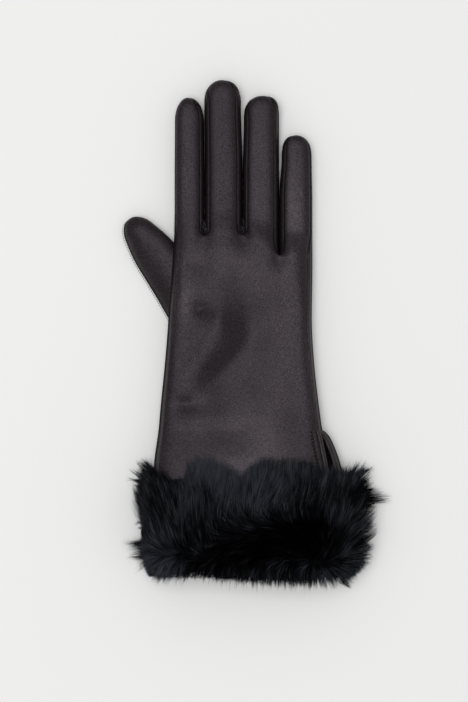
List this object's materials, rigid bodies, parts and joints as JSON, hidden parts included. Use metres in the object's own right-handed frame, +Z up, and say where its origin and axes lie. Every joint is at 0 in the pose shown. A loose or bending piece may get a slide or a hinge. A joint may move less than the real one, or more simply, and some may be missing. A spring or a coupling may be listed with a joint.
{
  "type": "fur-trimmed leather glove",
  "caption": "Right-hand dress glove of thin leather with walled fingers, a bound vent at the wrist and a deep fur cuff, lying palm down, open at the wrist for a hand",
  "frame": {"origin": "on the floor under the middle of the glove's box", "axes": "+X across the hand towards the little finger, +Y towards the fingertips, +Z up out of the back of the hand"},
  "size_m": [0.1508, 0.2908, 0.0411],
  "materials": {
    "leather": "smooth fine-grained nappa, soft satin sheen",
    "binding_leather": "narrow folded strip of the same leather, edges rubbed browner",
    "fur": "long dyed blue-black hair over a dense dark underfur",
    "thread": "fine dark sewing thread"
  },
  "bodies": {
    "root": {"trank": "leather", "fourchette_index_middle": "leather", "fourchette_middle_ring": "leather", "fourchette_ring_little": "leather", "thumb": "leather", "vent_binding": "binding_leather", "fur_cuff": "fur"}
  },
  "joints": []
}
